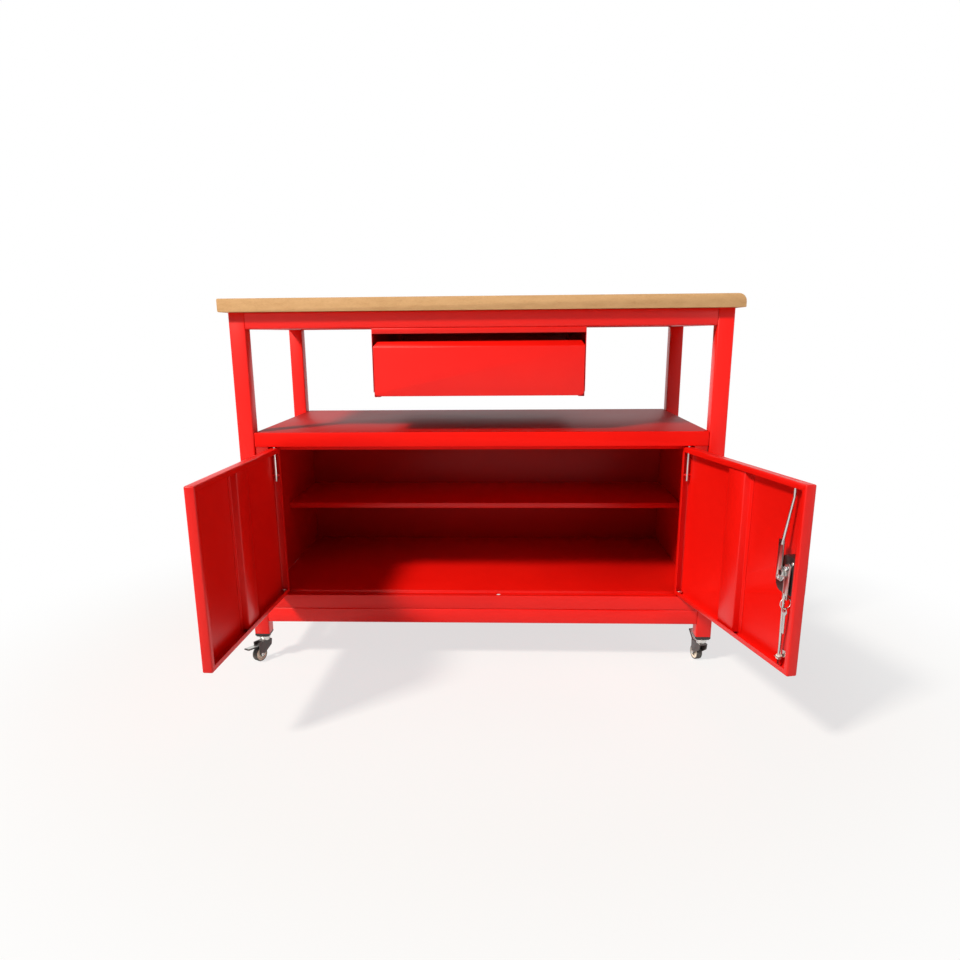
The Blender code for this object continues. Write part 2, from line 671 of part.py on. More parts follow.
def build_lock(hinge):
    """Flush cup lock: moulded body, turning grip, cam, and the two rods that the cam drives."""
    axis = new_empty("lock_axis", (-lock_along, -HINGE_INSET, lock_height), 0.0, hinge)
    flange_out = -SEAT_GAP - LOCK_FLANGE_THICKNESS
    body_end = SHEET + SEAT_GAP + LOCK_DEPTH
    housing = add_part("lock_housing", plate_outline(lock_outline(LOCK_FLANGE), flange_out,
                                                     -SEAT_GAP, Y), black_plastic, axis)
    fuse(housing, plate_outline(lock_outline(0.0), flange_out + LOCK_FLANGE_THICKNESS / 2,
                                body_end, Y))
    cup_floor = body_end - LOCK_WALL
    cut(housing, plate_outline(lock_outline(-LOCK_WALL), flange_out - LOCK_WALL, cup_floor, Y))
    cut(housing, new_rod((0.0, body_end, 0.0), Y, SPINDLE_RADIUS + RUN_GAP, 4 * LOCK_WALL))

    disc_high = cup_floor - SEAT_GAP
    grip = add_part("lock_grip", new_rod((0.0, disc_high - GRIP_DISC / 2, 0.0), Y, GRIP_RADIUS,
                                         GRIP_DISC), black_plastic, axis, 40)
    bar_low = disc_high - GRIP_DISC - GRIP_HEIGHT
    bar = bmesh.new()
    add_rounded_slab(bar, (0.0, 0.0), GRIP_RADIUS - GRIP_DISC / 2, GRIP_BAR / 2, bar_low,
                     disc_high - GRIP_DISC / 2, GRIP_BAR / 4)
    fuse(grip, bar)
    spindle_low = disc_high - GRIP_DISC / 2
    spindle_high = cam_depth + CAM_THICKNESS + SPINDLE_TAIL
    fuse(grip, new_rod((0.0, (spindle_low + spindle_high) / 2, 0.0), Y, SPINDLE_RADIUS,
                       spindle_high - spindle_low))

    rise = rod_travel / 2
    reach = math.degrees(math.atan2(-rise, crank_side))
    ends = [(crank_side, -rise), (-crank_side, rise)]
    outline = arc(ends[0], CAM_END_RADIUS, reach - 90, reach + 90, 6)
    outline += arc(ends[1], CAM_END_RADIUS, reach + 90, reach + 270, 6)
    cam = add_part("lock_cam", plate_outline(outline, cam_depth, cam_depth + CAM_THICKNESS, Y),
                   chrome, axis)
    cut(cam, new_rod((0.0, cam_depth, 0.0), Y, SPINDLE_RADIUS + SEAT_GAP, 4 * CAM_THICKNESS))
    stud_low = cam_depth + CAM_THICKNESS / 2
    stud_high = link_depth + 2 * LINK_THICKNESS
    for x, z in ends:
        fuse(cam, new_rod((x, (stud_low + stud_high) / 2, z), Y, STUD_RADIUS, stud_high - stud_low,
                          SMALL_SIDES))

    build_lock_rod("lock_rod_upper", axis, 1, door_high - lock_height - RUN_GAP, LINK_LENGTH,
                   ROD_STRAIGHT)
    build_lock_rod("lock_rod_lower", axis, -1, lock_height - door_low - RUN_GAP, LOWER_LINK_LENGTH,
                   GUIDE_RISE + ROD_STRAIGHT)

    guide_z = door_low + GUIDE_RISE - lock_height
    bm = folded_strip([(SHEET + SEAT_GAP, guide_z + GUIDE_WIDTH), (SHEET + SEAT_GAP, guide_z),
                       (ROD_DEPTH + GUIDE_REACH, guide_z)],
                      ROD_SIDE - GUIDE_WIDTH / 2, ROD_SIDE + GUIDE_WIDTH / 2, X, 1)
    guide = add_part("lock_rod_guide", bm, zinc, axis)
    press_sheet(guide, GUIDE_GAUGE, SHEET_BEND, 2)
    cut(guide, new_rod((ROD_SIDE, ROD_DEPTH, guide_z), Z, ROD_RADIUS + RUN_GAP, 4 * GUIDE_GAUGE,
                       SMALL_SIDES))


def build_lock_rod(name, axis, way, length, link_length, straight):
    """Slotted link over one cam stud, then a round rod that leans back towards the door skin.

    Way is 1 for the rod that goes up and -1 for the one that goes down, half a turn round. The
    straight end slides through the door's flange and, below, through the guide.
    """
    stud_z = -way * rod_travel / 2
    link_end = stud_z + way * (link_length - LINK_END)
    low, high = sorted((stud_z - way * LINK_END, link_end))
    middle = way * (crank_side + CRANK) / 2
    link = new_block((middle - LINK_WIDTH / 2, link_depth, low),
                     (middle + LINK_WIDTH / 2, link_depth + LINK_THICKNESS, high))
    part = add_part(name, link, zinc, axis)
    slot = bmesh.new()
    add_rounded_slab(slot, (middle, stud_z), (CRANK - crank_side) / 2 + STUD_RADIUS + RUN_GAP,
                     STUD_RADIUS + STUD_PLAY, link_depth - LINK_THICKNESS,
                     link_depth + 2 * LINK_THICKNESS, STUD_RADIUS)
    cut(part, slot)

    link_middle = link_depth + LINK_THICKNESS / 2
    root_x = way * ROD_ROOT
    fuse(part, new_wire([(root_x, link_middle, link_end - way * 3 * ROD_RADIUS),
                         (root_x, link_middle, link_end),
                         (ROD_SIDE, ROD_DEPTH, way * (length - straight)),
                         (ROD_SIDE, ROD_DEPTH, way * length)], ROD_RADIUS))
    if way < 0:
        cut(part, new_rod((ring_x, link_middle, ring_z), Y, RING_HOLE, 4 * LINK_THICKNESS,
                          SMALL_SIDES))


def new_wire(points, radius):
    """A round wire along points, made as a bevelled curve and returned as a closed mesh."""
    curve = bpy.data.curves.new("wire", "CURVE")
    curve.dimensions = "3D"
    curve.bevel_depth = radius
    curve.bevel_resolution = 2
    curve.use_fill_caps = True
    spline = curve.splines.new("POLY")
    spline.points.add(len(points) - 1)
    for target, point in zip(spline.points, points):
        target.co = (*point, 1.0)
    guide = bpy.data.objects.new("wire", curve)
    bpy.context.scene.collection.objects.link(guide)
    graph = bpy.context.evaluated_depsgraph_get()
    mesh = bpy.data.meshes.new_from_object(guide.evaluated_get(graph))
    bpy.data.objects.remove(guide, do_unlink=True)
    bm = bmesh.new()
    bm.from_mesh(mesh)
    bmesh.ops.remove_doubles(bm, verts=bm.verts, dist=0.00001)
    bmesh.ops.recalc_face_normals(bm, faces=bm.faces)
    return bm


def build_keys(lock_axis):
    """Split ring through the lower link, with one key hanging from it."""
    link_middle = link_depth + LINK_THICKNESS / 2
    hang = RING_HOLE - RING_WIRE - RING_PLAY
    pivot = new_empty("key_pivot", (ring_x, link_middle, ring_z - hang), 0.0, lock_axis)
    section = [(RING_RADIUS + RING_WIRE * math.sin(turn), RING_WIRE * math.cos(turn))
               for turn in (2 * math.pi * step / 8 for step in range(8))]
    ring = turned("key_ring", section, zinc, ROUND_SIDES, pivot)
    ring.location = (0.0, 0.0, -RING_RADIUS)
    ring.rotation_euler = (0.0, math.pi / 2, 0.0)

    eye = -2 * RING_RADIUS - (KEY_EYE - RING_WIRE - SEAT_GAP)
    bow = eye - KEY_BOW + KEY_EYE + RING_WIRE
    tip = eye - KEY_LENGTH
    key = add_part("key", new_rod((0.0, 0.0, bow), Y, KEY_BOW, KEY_THICKNESS), zinc, pivot)
    fuse(key, new_block((-KEY_BLADE / 2, -KEY_THICKNESS / 3, tip),
                        (KEY_BLADE / 2, KEY_THICKNESS / 3, bow)))
    cut(key, new_rod((0.0, 0.0, eye), Y, KEY_EYE, 4 * KEY_THICKNESS, SMALL_SIDES))


def build_drawer():
    """Housing under the top rails, folded drawer front, tray and a runner pair on each side."""
    half = HOUSING_WIDTH / 2
    strip_low = housing_high - HOUSING_STRIP
    notch_high = housing_low + HOUSING_NOTCH
    bm = open_box((-half, 0.0, housing_low), (half, frame_depth - HOUSING_SETBACK, housing_high),
                  [(Z, strip_low), (X, HOUSING_FLANGE - half), (X, half - HOUSING_FLANGE),
                   (Z, notch_high), (Y, HOUSING_NOTCH)],
                  lambda at, way: (way.y < -0.5 and at.z < strip_low)
                  or (way.z < -0.5 and abs(at.x) < half - HOUSING_FLANGE)
                  or (at.y < HOUSING_NOTCH and at.z < notch_high))
    press_sheet(add_part("drawer_housing", bm, red_paint))

    slide = new_empty("drawer_slide", (0.0, 0.0, 0.0))
    front_half = housing_inner - FRONT_SIDE_GAP
    slope_low = front_high - GRIP_SLOPE
    profile = [(GRIP_SLOPE, front_low), (0.0, front_low), (0.0, slope_low),
               (GRIP_SLOPE, front_high), (GRIP_SLOPE, front_high - GRIP_RETURN)]
    bm = folded_strip(profile, -front_half, front_half, X, -1)
    for side in (-1, 1):
        end = [edge for edge in bm.edges
               if all(abs(vert.co.y) < SHEET / 2 and vert.co.x * side > 0 for vert in edge.verts)]
        pull(bm, end, Y, GRIP_SLOPE)
    bmesh.ops.remove_doubles(bm, verts=bm.verts, dist=SEAT_GAP / 10)
    round_edges(bm, lambda way, at: abs(way.y) > 0.9 and abs(at.x) > front_half - SHEET
                and at.z < front_low + SHEET, FRONT_CORNER, 4)
    for vert in bm.verts:
        if vert.co.y > SHEET and vert.co.z > front_high - GRIP_RETURN - SHEET / 2:
            vert.co.x -= math.copysign(GRIP_RELIEF, vert.co.x)
    press_sheet(add_part("drawer_front", bm, red_paint, slide))

    back_y = drawer_front + DRAWER_LENGTH
    bm = open_box((-drawer_half, drawer_front, drawer_low),
                  (drawer_half, back_y, drawer_low + DRAWER_WALL_HEIGHT), [],
                  lambda at, way: way.z > 0.5)
    press_sheet(add_part("drawer_tray", bm, red_paint, slide))

    runner_z = drawer_low + DRAWER_WALL_HEIGHT / 2
    inner_rise = RUNNER_HEIGHT / 2 - RUNNER_GAUGE - RUN_GAP
    for side, word in ((-1, "left"), (1, "right")):
        web = side * (housing_inner - SEAT_GAP)
        tip = web - side * RUNNER_FLANGE
        rise = RUNNER_HEIGHT / 2
        profile = [(tip, runner_z - rise), (web, runner_z - rise), (web, runner_z + rise),
                   (tip, runner_z + rise)]
        bm = folded_strip(profile, RUNNER_SETBACK, RUNNER_SETBACK + RUNNER_LENGTH, Y, side)
        press_sheet(add_part(f"runner_outer_{word}", bm, zinc), RUNNER_GAUGE, RUNNER_GAUGE / 2, 1)
        web = side * (drawer_half + SEAT_GAP)
        tip = web + side * RUNNER_FLANGE
        profile = [(tip, runner_z - inner_rise), (web, runner_z - inner_rise),
                   (web, runner_z + inner_rise), (tip, runner_z + inner_rise)]
        bm = folded_strip(profile, drawer_front, drawer_front + RUNNER_INNER_LENGTH, Y, -side)
        press_sheet(add_part(f"runner_inner_{word}", bm, zinc, slide), RUNNER_GAUGE,
                    RUNNER_GAUGE / 2, 1)


def build_caster(place, word, swivel, pedal_tilt):
    """Cap under the leg, swivelling fork, wheel with tyre and, where it has a tilt, a pedal."""
    cap_high = CASTER_HEIGHT - SEAT_GAP
    half = TUBE / 2 - CAP_INSET
    bm = new_block((-half, -half, cap_high - CAP_THICKNESS), (half, half, cap_high))
    under = [face for face in bm.faces if face.normal.z < -0.5]
    bmesh.ops.inset_region(bm, faces=under, thickness=CAP_TAPER, depth=CAP_BOSS)
    mount = new_empty(f"caster_mount_{word}", place)
    cap = add_part(f"caster_cap_{word}", bm, black_plastic, mount)
    pin_low = bridge_low + RUN_GAP
    pin_high = cap_high - CAP_THICKNESS / 2
    fuse(cap, new_rod((0.0, 0.0, (pin_low + pin_high) / 2), Z, KINGPIN_RADIUS, pin_high - pin_low,
                      SMALL_SIDES))

    turn = new_empty(f"caster_swivel_{word}", place, math.radians(swivel))
    ear_back = PLAIN_EAR if pedal_tilt is None else BRAKED_EAR
    tip_centre = (-CASTER_TRAIL, WHEEL_RADIUS)
    outline = [(FORK_NOSE, bridge_high), (FORK_NOSE, bridge_low),
               (FORK_NOSE - FORK_SHOULDER_CUT, bridge_low - FORK_SHOULDER)]
    outline += arc(tip_centre, FORK_TIP_RADIUS, 360, 180, 8)
    outline += [(-ear_back, bridge_low), (-ear_back, bridge_high)]
    outer = fork_half + FORK_GAUGE
    fork = add_part(f"caster_fork_{word}", plate_outline(outline, -outer, outer, X), fork_coat, turn)
    room = 2 * WHEEL_RADIUS  # reach of the cutters, past the wheel on every side
    slot = new_block((-fork_half, -2 * room, -room), (fork_half, room, bridge_low))
    cut(fork, slot)
    if pedal_tilt is not None:
        cut(fork, new_block((-fork_half, -2 * room, bridge_low - FORK_BRIDGE),
                            (fork_half, -PLAIN_EAR, 2 * room)))
        fuse(fork, new_rod((0.0, -PEDAL_SETBACK, pedal_height), X, PEDAL_PIVOT_RADIUS,
                           2 * outer - FORK_GAUGE, SMALL_SIDES))
    race_low = bridge_high - FORK_BRIDGE / 2
    fuse(fork, new_rod((0.0, 0.0, (race_low + race_high) / 2), Z, RACE_FOOT, race_high - race_low,
                       ROUND_SIDES, RACE_RADIUS))
    fuse(fork, new_rod((0.0, *tip_centre), X, AXLE_RADIUS, 2 * outer + FORK_GAUGE, SMALL_SIDES))
    cut(fork, new_rod((0.0, 0.0, bridge_high), Z, KINGPIN_RADIUS + RUN_GAP, 2 * room))

    width = WHEEL_WIDTH / 2 - RUN_GAP
    dish = width - HUB_DISH
    rim = WHEEL_RADIUS - TYRE_THICKNESS
    bore = AXLE_RADIUS + RUN_GAP
    profile = [(rim - TYRE_THICKNESS, width), (rim, width), (rim, -width),
               (rim - TYRE_THICKNESS, -width), (rim - 1.5 * TYRE_THICKNESS, -dish),
               (HUB_RADIUS + SHEET, -dish), (HUB_RADIUS, -width), (bore, -width), (bore, width),
               (HUB_RADIUS, width), (HUB_RADIUS + SHEET, dish), (rim - 1.5 * TYRE_THICKNESS, dish)]
    hub = turned(f"caster_hub_{word}", profile, cream_nylon, ROUND_SIDES, turn)
    seat = (rim + SEAT_GAP) / math.cos(math.pi / WHEEL_SIDES)
    edge = TYRE_THICKNESS / 3
    tread = [(WHEEL_RADIUS - edge, WHEEL_WIDTH / 2), (WHEEL_RADIUS, WHEEL_WIDTH / 2 - 2 * edge),
             (WHEEL_RADIUS, 2 * edge - WHEEL_WIDTH / 2), (WHEEL_RADIUS - edge, -WHEEL_WIDTH / 2),
             (seat, -WHEEL_WIDTH / 2), (seat, WHEEL_WIDTH / 2)]
    tyre = turned(f"caster_tyre_{word}", tread, grey_rubber, WHEEL_SIDES, turn)
    for piece in (hub, tyre):
        piece.location = (0.0, *tip_centre)
        piece.rotation_euler = (0.0, math.pi / 2, 0.0)

    if pedal_tilt is not None:
        pedal_half = fork_half - RUN_GAP
        pedal = add_part(f"brake_pedal_{word}",
                         new_block((-pedal_half, -PEDAL_LENGTH, -PEDAL_THICKNESS / 2),
                                   (pedal_half, 0.0, PEDAL_THICKNESS / 2)), black_plastic, turn)
        pedal.location = (0.0, -PEDAL_SETBACK, pedal_height)
        pedal.rotation_euler = (-math.radians(pedal_tilt), 0.0, 0.0)
        fuse(pedal, new_rod((0.0, 0.0, 0.0), X, PEDAL_BARREL, 2 * pedal_half))
        cut(pedal, new_rod((0.0, 0.0, 0.0), X, PEDAL_PIVOT_RADIUS + RUN_GAP, 4 * pedal_half,
                           SMALL_SIDES))


def centre_on_floor():
    """Moves the whole bench so that its box stands on the origin."""
    bpy.context.view_layer.update()
    graph = bpy.context.evaluated_depsgraph_get()
    points = []
    for part in bench.objects:
        if part.type == "MESH":
            shape = part.evaluated_get(graph)
            points += [shape.matrix_world @ vert.co for vert in shape.data.vertices]
    low = [min(point[axis] for point in points) for axis in (X, Y, Z)]
    high = [max(point[axis] for point in points) for axis in (X, Y, Z)]
    shift = Vector((-(low[X] + high[X]) / 2, -(low[Y] + high[Y]) / 2, -low[Z]))
    for thing in list(bench.objects) + list(cutters.objects):
        if thing.parent is None:
            thing.location += shift


build_top()
build_frame()
build_cabinet_top()
build_cabinet_floor()
build_cabinet_sides()
build_cabinet_inside()
for door_side, door_word, opened in ((-1, "left", -LEFT_DOOR_OPEN), (1, "right", RIGHT_DOOR_OPEN)):
    door_hinge = new_empty(f"door_{door_word}_hinge", (door_side * hinge_x, HINGE_INSET, 0.0),
                           math.radians(opened))
    build_door(door_word, door_side, door_hinge)
    build_hinge_pins(door_word, door_hinge)
build_lock(bpy.data.objects["door_right_hinge"])
build_keys(bpy.data.objects["lock_axis"])
build_drawer()
leg_x = frame_half - TUBE / 2
for caster_x, caster_y, caster_word, caster_turn, caster_tilt in (
        (-leg_x, TUBE / 2, "front_left", FRONT_LEFT_SWIVEL, PRESSED_PEDAL_TILT),
        (leg_x, TUBE / 2, "front_right", FRONT_RIGHT_SWIVEL, FREE_PEDAL_TILT),
        (-leg_x, frame_depth - TUBE / 2, "back_left", BACK_LEFT_SWIVEL, None),
        (leg_x, frame_depth - TUBE / 2, "back_right", BACK_RIGHT_SWIVEL, None)):
    build_caster((caster_x, caster_y, 0.0), caster_word, caster_turn, caster_tilt)
centre_on_floor()
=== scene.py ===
import json
import math

import bmesh
import bpy
from mathutils import Matrix, Vector


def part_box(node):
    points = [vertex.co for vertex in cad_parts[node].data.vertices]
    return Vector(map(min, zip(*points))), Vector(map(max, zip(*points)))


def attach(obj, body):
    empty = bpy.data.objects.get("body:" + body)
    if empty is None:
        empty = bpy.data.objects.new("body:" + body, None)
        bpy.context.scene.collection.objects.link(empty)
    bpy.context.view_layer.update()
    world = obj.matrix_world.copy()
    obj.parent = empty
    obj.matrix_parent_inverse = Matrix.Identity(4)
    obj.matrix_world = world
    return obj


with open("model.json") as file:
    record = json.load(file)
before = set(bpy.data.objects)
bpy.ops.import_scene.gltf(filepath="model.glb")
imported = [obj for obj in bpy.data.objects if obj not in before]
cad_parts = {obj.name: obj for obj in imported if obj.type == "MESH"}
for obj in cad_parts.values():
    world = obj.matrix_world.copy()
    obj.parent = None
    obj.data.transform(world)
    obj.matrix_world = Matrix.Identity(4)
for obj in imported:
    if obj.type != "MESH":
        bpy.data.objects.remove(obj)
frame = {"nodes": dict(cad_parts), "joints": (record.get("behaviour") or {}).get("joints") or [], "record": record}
nodes = frame["nodes"]
joints = {joint["name"]: joint for joint in frame["joints"]}
corners = ["front_left", "front_right", "back_left", "back_right"]
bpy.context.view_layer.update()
print("frame loaded:", len(nodes), "nodes")


def mm(value):
    return value / 1000


def srgb(code):  # hex colour to linear light
    parts = [int(code[i:i + 2], 16) / 255 for i in (1, 3, 5)]
    linear = [p / 12.92 if p <= 0.04045 else ((p + 0.055) / 1.055) ** 2.4 for p in parts]
    return (*linear, 1.0)


def perMm(size):
    return 1000 / size  # pattern scale that gives one feature per this many millimetres


def addNode(tree, kind, settings=None, links=None):
    node = tree.nodes.new("ShaderNode" + kind)
    for name, value in (settings or {}).items():
        if isinstance(name, int) or name in node.inputs:
            node.inputs[name].default_value = value
        else:
            setattr(node, name, value)
    for name, source in (links or {}).items():
        tree.links.new(source, node.inputs[name])
    return node


def newMaterial(name):
    material = bpy.data.materials.new(name)
    material.use_nodes = True
    tree = material.node_tree
    tree.nodes.clear()
    shader = addNode(tree, "BsdfPrincipled")
    addNode(tree, "OutputMaterial", links={"Surface": shader.outputs["BSDF"]})
    where = addNode(tree, "TexCoord").outputs["Object"]
    return material, tree, shader, where


def setShader(shader, values):
    for name, value in values.items():
        shader.inputs[name].default_value = value


def ramp(tree, source, stops):
    node = addNode(tree, "ValToRGB", links={"Fac": source})
    points = node.color_ramp.elements
    points[0].position, points[0].color = stops[0]
    points[1].position, points[1].color = stops[-1]
    for position, colour in stops[1:-1]:
        points.new(position).color = colour
    return node.outputs["Color"]


def noise(tree, where, size, detail):
    return addNode(tree, "TexNoise", {"Scale": perMm(size), "Detail": detail},
                   {"Vector": where}).outputs["Fac"]


def bump(tree, height, strength, distance, under=None):
    links = {"Height": height} if under is None else {"Height": height, "Normal": under}
    return addNode(tree, "Bump", {"Strength": strength, "Distance": distance},
                   links).outputs["Normal"]


def linkRoughness(tree, shader, tone, limits):
    spread = addNode(tree, "MapRange", {"To Min": limits[0], "To Max": limits[1]}, {"Value": tone})
    tree.links.new(spread.outputs["Result"], shader.inputs["Roughness"])


def rampPair(tree, tone, colours, low, high):
    return ramp(tree, tone, [(low, srgb(colours[0])), (high, srgb(colours[1]))])


# Powder coat on mild steel: cured resin, glossy, with a fine orange peel from the spray
powderCoat = {
    "reds": ("#E81109", "#F0150B"),
    "mottle": 260.0,        # mm between darker and lighter patches of red
    "sheetWave": 140.0,     # mm between the slow waves of thin sheet, seen in reflections
    "waveHeight": mm(3),
    "orangePeel": 5.0,      # real peel is 1.5 to 2 mm, drawn at 5 so that it shows
    "peelHeight": mm(0.4),
    "peelStrength": 0.08,
    "ior": 1.5,
}
# The tone is how much of the red is left, as painted shade: the sheets a little, the inner sheets more, and the
# deck's top most
coatLooks = {
    "tube": {"waviness": 0.02, "roughness": (0.30, 0.38), "specular": 0.35, "tone": 1.0},
    "sheet": {"waviness": 0.25, "roughness": (0.30, 0.38), "specular": 0.35, "tone": 0.88},
    "inner": {"waviness": 0.25, "roughness": (0.36, 0.44), "specular": 0.25, "tone": 0.6},
    # the deck's top is darker still, as painted shade and a painted dark reflection of the board's underside
    "deck": {"waviness": 0.25, "roughness": (0.42, 0.50), "specular": 0.10, "tone": 1.0,
             "topPaintedShade": 0.46, "topStart": 0.6, "topEnd": 0.9},  # by how far a face looks up
}


def makePowderCoat(look):
    settings = coatLooks[look]
    material, tree, shader, where = newMaterial("redPowderCoat." + look)
    mottle = noise(tree, where, powderCoat["mottle"], 3.0)
    colour = rampPair(tree, mottle, powderCoat["reds"], 0.35, 0.65)
    # the red scaled down by the tone is painted shade
    shaded = addNode(tree, "VectorMath", {"operation": "SCALE", "Scale": settings["tone"]},
                     {0: colour})
    # faces that look up get the deck's painted shade and painted dark reflection
    if "topPaintedShade" in settings:
        facing = addNode(tree, "TexCoord").outputs["Normal"]
        up = addNode(tree, "SeparateXYZ", links={"Vector": facing}).outputs["Z"]
        amount = addNode(tree, "MapRange", {
            "From Min": settings["topStart"], "From Max": settings["topEnd"],
            "To Min": settings["tone"], "To Max": settings["topPaintedShade"]}, {"Value": up})
        tree.links.new(amount.outputs["Result"], shaded.inputs["Scale"])
    tree.links.new(shaded.outputs["Vector"], shader.inputs["Base Color"])
    linkRoughness(tree, shader, mottle, settings["roughness"])
    slow = bump(tree, noise(tree, where, powderCoat["sheetWave"], 1.0),
                settings["waviness"], powderCoat["waveHeight"])
    fine = bump(tree, noise(tree, where, powderCoat["orangePeel"], 2.0),
                powderCoat["peelStrength"], powderCoat["peelHeight"], slow)
    tree.links.new(fine, shader.inputs["Normal"])
    setShader(shader, {"IOR": powderCoat["ior"], "Specular IOR Level": settings["specular"]})
    return material


# Medium-density fibreboard: pressed wood fibre, matt, sanded faces, mottled by fibre bundles
fibreboard = {
    "tones": ((0.42, "#B88E60"), (0.58, "#C49B6D"), (0.78, "#CDA476")),  # share of light, colour
    "fibre": 3.0,           # fibre bundles are about 1 mm, drawn at 3
    "fibreWeight": 0.55,
    "flake": 14.0,          # mm across the larger flakes
    "flakeWeight": 0.45,
    "cloud": 180.0,         # mm between lighter and darker parts of the board
    "cloudWeight": 0.25,
    "stretch": (0.45, 1.0, 1.6),  # fibres lie along the board and flat in it
    "bump": 0.25,
    "bumpHeight": mm(0.3),
    "shader": {"Roughness": 0.75, "IOR": 1.45, "Specular IOR Level": 0.3},
}


def makeFibreboard():
    material, tree, shader, where = newMaterial("sandedFibreboard")
    stretched = addNode(tree, "Mapping", {"Scale": fibreboard["stretch"]},
                        {"Vector": where}).outputs["Vector"]
    fibre = addNode(tree, "TexNoise", {"Scale": perMm(fibreboard["fibre"]), "Detail": 4.0,
                                       "Roughness": 0.65}, {"Vector": stretched}).outputs["Fac"]
    flake = noise(tree, stretched, fibreboard["flake"], 3.0)
    cloud = noise(tree, where, fibreboard["cloud"], 2.0)
    broad = addNode(tree, "Math", {"operation": "MULTIPLY", 1: fibreboard["flakeWeight"]},
                    {0: flake})
    tone = addNode(tree, "Math", {"operation": "MULTIPLY_ADD", 1: fibreboard["fibreWeight"]},
                   {0: fibre, 2: broad.outputs[0]})
    shade = addNode(tree, "Math", {"operation": "MULTIPLY_ADD", 1: fibreboard["cloudWeight"]},
                    {0: cloud, 2: tone.outputs[0]})
    colour = ramp(tree, shade.outputs[0],
                  [(share, srgb(code)) for share, code in fibreboard["tones"]])
    tree.links.new(colour, shader.inputs["Base Color"])
    tree.links.new(bump(tree, fibre, fibreboard["bump"], fibreboard["bumpHeight"]),
                   shader.inputs["Normal"])
    setShader(shader, fibreboard["shader"])
    return material


# Plated and moulded small parts share one recipe: colours, a grain in mm and a roughness range
smallFinishes = {
    "brightZincPlate": {"colours": ("#C4C4C2", "#E4E2DD"), "metallic": 1.0, "rough": (0.2, 0.36),
                        "grain": 6.0, "bump": 0.05},     # bright dip over drawn wire and sheet
    "polishedChrome": {"colours": ("#D6D7D8", "#ECECEC"), "metallic": 1.0, "rough": (0.08, 0.16),
                       "grain": 12.0, "bump": 0.02},
    "mouldedNylon": {"colours": ("#1A1414", "#2A2121"), "metallic": 0.0, "rough": (0.35, 0.48),
                     "grain": 2.5, "bump": 0.12},        # glass-filled nylon, spark-eroded mould
    "darkForkCoat": {"colours": ("#40393A", "#565050"), "metallic": 0.0, "rough": (0.3, 0.42),
                     "grain": 4.0, "bump": 0.06},        # dark passivated pressed steel
    "creamNylon": {"colours": ("#D9D2C0", "#EDE8DA"), "metallic": 0.0, "rough": (0.4, 0.55),
                   "grain": 5.0, "bump": 0.05},
    "greyTread": {"colours": ("#3B3A38", "#4F4D4A"), "metallic": 0.0, "rough": (0.6, 0.8),
                  "grain": 2.0, "bump": 0.15},           # thermoplastic rubber, scuffed matt
    "whiteBush": {"colours": ("#DCDAD2", "#EFEDE6"), "metallic": 0.0, "rough": (0.35, 0.45),
                  "grain": 4.0, "bump": 0.04},           # natural nylon, turned
    "redTab": {"colours": ("#E81109", "#F0150B"), "metallic": 0.0, "rough": (0.3, 0.4),
               "grain": 5.0, "bump": 0.06},              # the doors' powder coat on small tabs
}


grainLook = {
    "toneSpread": 8,        # tones change over this many grains
    "height": mm(0.3),
    "splitCloud": 40.0,     # the same three for parts with two finishes
    "splitGrain": 4.0,
    "splitBump": 0.06,
    "ramp": (0.3, 0.7),
}


def makeSmallFinish(name):
    recipe = smallFinishes[name]
    material, tree, shader, where = newMaterial(name)
    tone = noise(tree, where, grainLook["toneSpread"] * recipe["grain"], 2.0)
    tree.links.new(rampPair(tree, tone, recipe["colours"], *grainLook["ramp"]),
                   shader.inputs["Base Color"])
    linkRoughness(tree, shader, tone, recipe["rough"])
    tree.links.new(bump(tree, noise(tree, where, recipe["grain"], 3.0), recipe["bump"],
                        grainLook["height"]), shader.inputs["Normal"])
    setShader(shader, {"Metallic": recipe["metallic"]})
    return material


# Two finishes on one pressed or turned part: the mask tells where the second one shows
def splitFinish(name, base, other, mask):
    material, tree, shader, where = newMaterial(name)
    chosen = mask(tree, where)
    pair = [smallFinishes[base], smallFinishes[other]]
    tone = noise(tree, where, grainLook["splitCloud"], 2.0)
    first, second = [rampPair(tree, tone, recipe["colours"], *grainLook["ramp"])
                     for recipe in pair]
    mix = addNode(tree, "MixRGB", links={"Fac": chosen, "Color1": first, "Color2": second})
    tree.links.new(mix.outputs["Color"], shader.inputs["Base Color"])
    metallic = addNode(tree, "MapRange", {"To Min": pair[0]["metallic"],
                                          "To Max": pair[1]["metallic"]}, {"Value": chosen})
    tree.links.new(metallic.outputs["Result"], shader.inputs["Metallic"])
    linkRoughness(tree, shader, chosen, [sum(recipe["rough"]) / 2 for recipe in pair])
    tree.links.new(bump(tree, noise(tree, where, grainLook["splitGrain"], 3.0),
                        grainLook["splitBump"], grainLook["height"]), shader.inputs["Normal"])
    return material


coats = {look: makePowderCoat(look) for look in coatLooks}
board = makeFibreboard()
finishes = {name: makeSmallFinish(name) for name in smallFinishes}
print("materials made")

slotFinishes = {
    "board": board,
    "red_powder_coat": coats["sheet"],
    "zinc_plate": finishes["brightZincPlate"],
    "chrome_plate": finishes["polishedChrome"],
    "black_plastic": finishes["mouldedNylon"],
    "dark_fork_coat": finishes["darkForkCoat"],
    "cream_nylon": finishes["creamNylon"],
    "grey_rubber": finishes["greyTread"],
}
nodeSlots = {row["node"]: row["material_slot"] for row in frame["record"]["subparts"]}

# Folded sheet, sawn board and moulded parts have small round edges that catch the light
edges = {
    "weld": mm(0.002),
    "round": mm(0.35),
    "turn": 50.0,           # degrees from which a CAD edge is rounded
    "sharp": 32.0,          # degrees from which an edge of a new piece stays sharp
}


